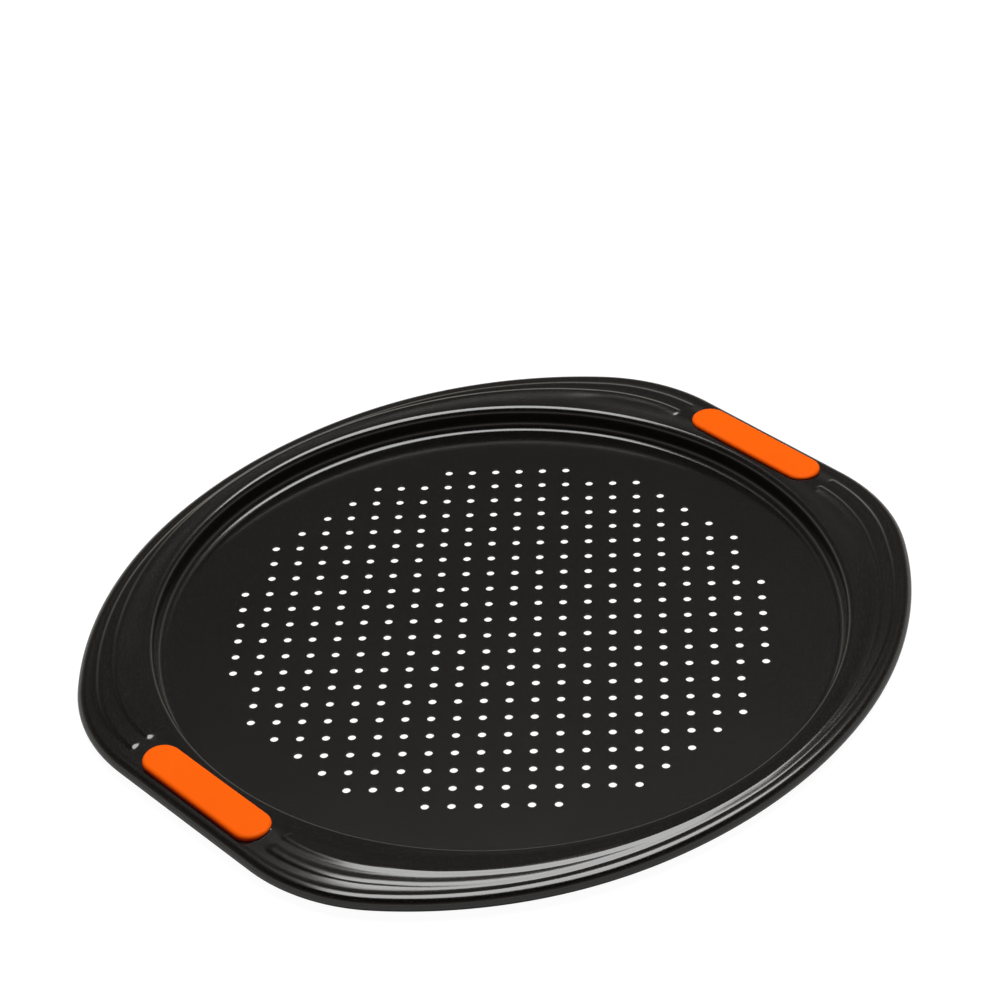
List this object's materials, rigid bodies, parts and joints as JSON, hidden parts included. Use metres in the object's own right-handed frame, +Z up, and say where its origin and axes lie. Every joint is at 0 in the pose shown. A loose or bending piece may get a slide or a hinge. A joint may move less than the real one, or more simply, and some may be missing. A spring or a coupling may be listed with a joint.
{
  "type": "pizza pan",
  "caption": "Perforated round pizza pan with a low wall, a wide oval ribbed flange, a curled rim and a soft grip at each end.",
  "frame": {"origin": "middle of the flat underside, which the pan stands on", "axes": "+X through the two grips, the longest way; +Y across the plain sides; +Z up, out of the open well"},
  "size_m": [0.3824, 0.3612, 0.0145],
  "materials": {
    "non_stick_sheet": "charcoal black non-stick coating on pressed steel, half gloss with a fine speckle",
    "silicone": "matte orange moulded silicone"
  },
  "bodies": {
    "root": {"pan": "non_stick_sheet", "grip_left": "silicone", "grip_right": "silicone"}
  },
  "joints": []
}
